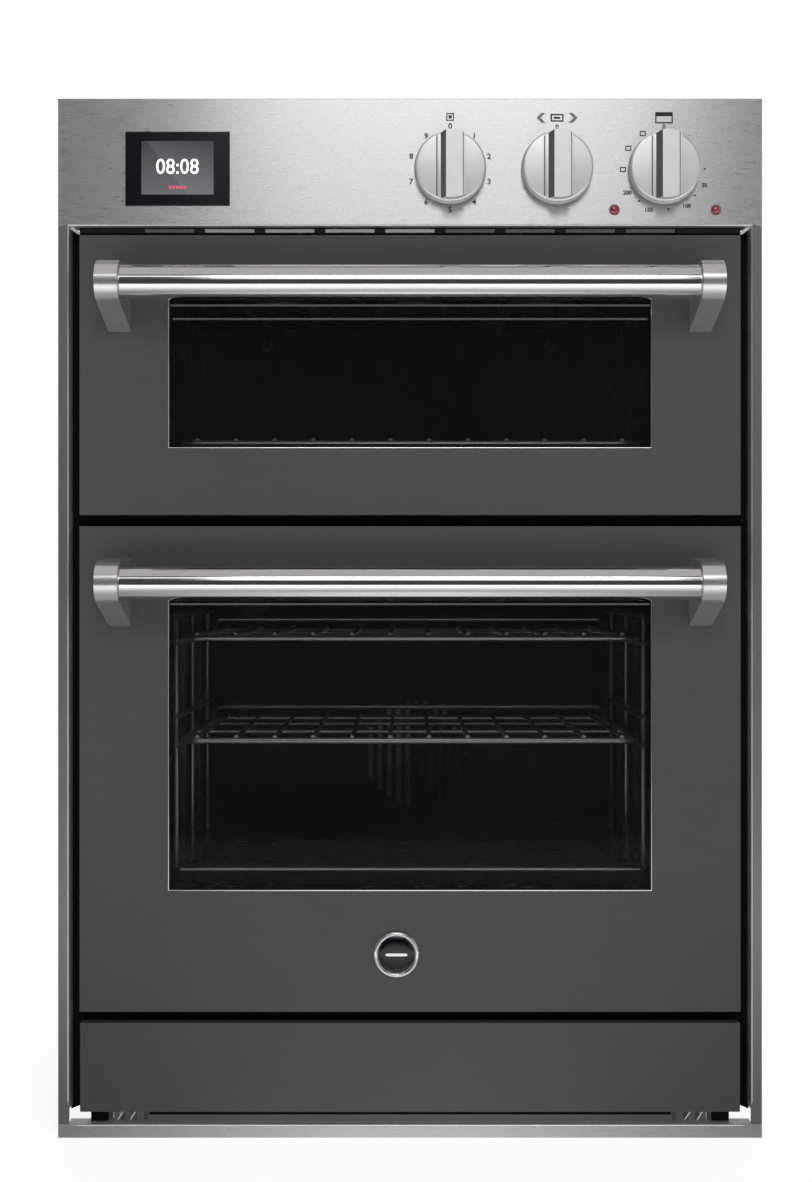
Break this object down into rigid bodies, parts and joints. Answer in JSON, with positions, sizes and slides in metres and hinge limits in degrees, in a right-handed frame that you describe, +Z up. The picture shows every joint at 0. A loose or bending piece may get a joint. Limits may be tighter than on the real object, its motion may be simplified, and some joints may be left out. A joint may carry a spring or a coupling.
{
  "type": "wall oven",
  "caption": "Built-in double wall oven: steel fascia with display and knobs over an upper and a taller lower drop-down glass door, with wire racks, fan and cooling blower inside.",
  "frame": {"origin": "middle of the bottom of the bounding box, on the surface the oven stands on", "axes": "+Z up, the doors and the fascia face -Y, +X to the right as seen from the front"},
  "size_m": [0.596, 0.63, 0.88],
  "materials": {
    "fascia_steel": "brushed stainless, grain across the panel",
    "vent_metal": "grey satin",
    "anthracite": "anthracite satin with a fine grain",
    "black_paint": "black satin",
    "dark_glass": "black tinted, polished",
    "inner_glass": "clear tempered",
    "handle_steel": "polished along the bar",
    "bracket_steel": "satin",
    "zinc": "galvanised, spangled",
    "enamel": "dark enamel with fine specks",
    "badge": "bright ring round a black dome",
    "knob_metal": "fine satin",
    "dark_plastic": "moulded",
    "display_glass": "black glass over a lit grey screen",
    "red_lens": "clear red, moulded",
    "insulation": "glass wool blanket",
    "seal": "woven seal",
    "element": "heat-darkened sheath",
    "lamp_glass": "frosted",
    "chrome_wire": "bright wire"
  },
  "bodies": {
    "carcass": {"front_fascia": "fascia_steel", "top_vent_grille": "vent_metal", "plinth_grille": "vent_metal", "bottom_panel": "anthracite", "front_frame": "black_paint", "function_switch": "dark_plastic", "clock_encoder": "dark_plastic", "thermostat": "zinc", "display_glass": "display_glass", "display_board": "dark_plastic", "indicator_lens_left": "red_lens", "indicator_lens_right": "red_lens", "side_panel_left": "zinc", "side_panel_right": "zinc", "top_cover": "zinc", "base_tray": "zinc", "rear_cover": "zinc", "cable_gland": "dark_plastic", "upper_cavity": "enamel", "lower_cavity": "enamel", "insulation": "insulation", "upper_gasket": "seal", "lower_gasket": "seal", "upper_grill_element": "element", "ring_element": "element", "fan_cover": "enamel", "fan_motor": "zinc", "oven_lamp": "lamp_glass", "blower_housing": "zinc", "side_rack_left": "chrome_wire", "side_rack_right": "chrome_wire"},
    "upper_door": {"upper_door_panel": "anthracite", "upper_door_outer_glass": "dark_glass", "upper_door_inner_frame": "enamel", "upper_door_inner_glass": "inner_glass", "upper_door_handle_bar": "handle_steel", "upper_door_bracket_left": "bracket_steel", "upper_door_bracket_right": "bracket_steel", "upper_door_hinge_left": "zinc", "upper_door_hinge_right": "zinc"},
    "lower_door": {"lower_door_panel": "anthracite", "lower_door_outer_glass": "dark_glass", "lower_door_inner_frame": "enamel", "lower_door_inner_glass": "inner_glass", "lower_door_handle_bar": "handle_steel", "lower_door_bracket_left": "bracket_steel", "lower_door_bracket_right": "bracket_steel", "lower_door_hinge_left": "zinc", "lower_door_hinge_right": "zinc", "door_badge": "badge"},
    "function_knob": {"function_knob": "knob_metal"},
    "clock_shaft": {"clock_shaft": "zinc"},
    "clock_knob": {"clock_knob": "knob_metal"},
    "thermostat_knob": {"thermostat_knob": "knob_metal"},
    "convection_fan": {"convection_fan": "zinc"},
    "blower_wheel": {"blower_wheel": "zinc"},
    "upper_rack": {"upper_rack": "chrome_wire"},
    "lower_rack_bottom": {"lower_rack_bottom": "chrome_wire"},
    "lower_rack_top": {"lower_rack_top": "chrome_wire"},
    "drip_tray": {"drip_tray": "enamel"}
  },
  "joints": [
    {"name": "upper_door_hinge", "type": "hinge", "parent": "carcass", "child": "upper_door", "pos_m": [0, -0.244, 0.5335], "axis": [1, 0, 0], "range_deg": [0, 88], "stiffness_Nm_per_rad": 8, "springref_deg": -14.32},
    {"name": "lower_door_hinge", "type": "hinge", "parent": "carcass", "child": "lower_door", "pos_m": [0, -0.244, 0.1127], "axis": [1, 0, 0], "range_deg": [0, 88], "stiffness_Nm_per_rad": 16, "springref_deg": -14.32},
    {"name": "function_turn", "type": "hinge", "parent": "carcass", "child": "function_knob", "pos_m": [0.034, -0.26, 0.8205], "axis": [0, 1, 0], "continuous": true},
    {"name": "clock_push", "type": "slide", "parent": "carcass", "child": "clock_shaft", "axis": [0, 1, 0], "range_m": [0, 0.002], "stiffness_N_per_m": 400, "springref_m": -0.001},
    {"name": "clock_turn", "type": "hinge", "parent": "clock_shaft", "child": "clock_knob", "pos_m": [0.1245, -0.26, 0.8205], "axis": [0, 1, 0], "continuous": true},
    {"name": "thermostat_turn", "type": "hinge", "parent": "carcass", "child": "thermostat_knob", "pos_m": [0.215, -0.26, 0.8205], "axis": [0, 1, 0], "range_deg": [0, 330]},
    {"name": "convection_fan_spin", "type": "hinge", "parent": "carcass", "child": "convection_fan", "pos_m": [0.008, 0.18, 0.295], "axis": [0, 1, 0], "continuous": true},
    {"name": "blower_spin", "type": "hinge", "parent": "carcass", "child": "blower_wheel", "pos_m": [0, 0.165, 0.815], "axis": [1, 0, 0], "continuous": true},
    {"name": "upper_rack_slide", "type": "slide", "parent": "carcass", "child": "upper_rack", "axis": [0, -1, 0], "range_m": [0, 0.02]},
    {"name": "lower_rack_bottom_slide", "type": "slide", "parent": "carcass", "child": "lower_rack_bottom", "axis": [0, -1, 0], "range_m": [0, 0.02]},
    {"name": "lower_rack_top_slide", "type": "slide", "parent": "carcass", "child": "lower_rack_top", "axis": [0, -1, 0], "range_m": [0, 0.02]},
    {"name": "drip_tray_slide", "type": "slide", "parent": "carcass", "child": "drip_tray", "axis": [0, -1, 0], "range_m": [0, 0.02]}
  ]
}
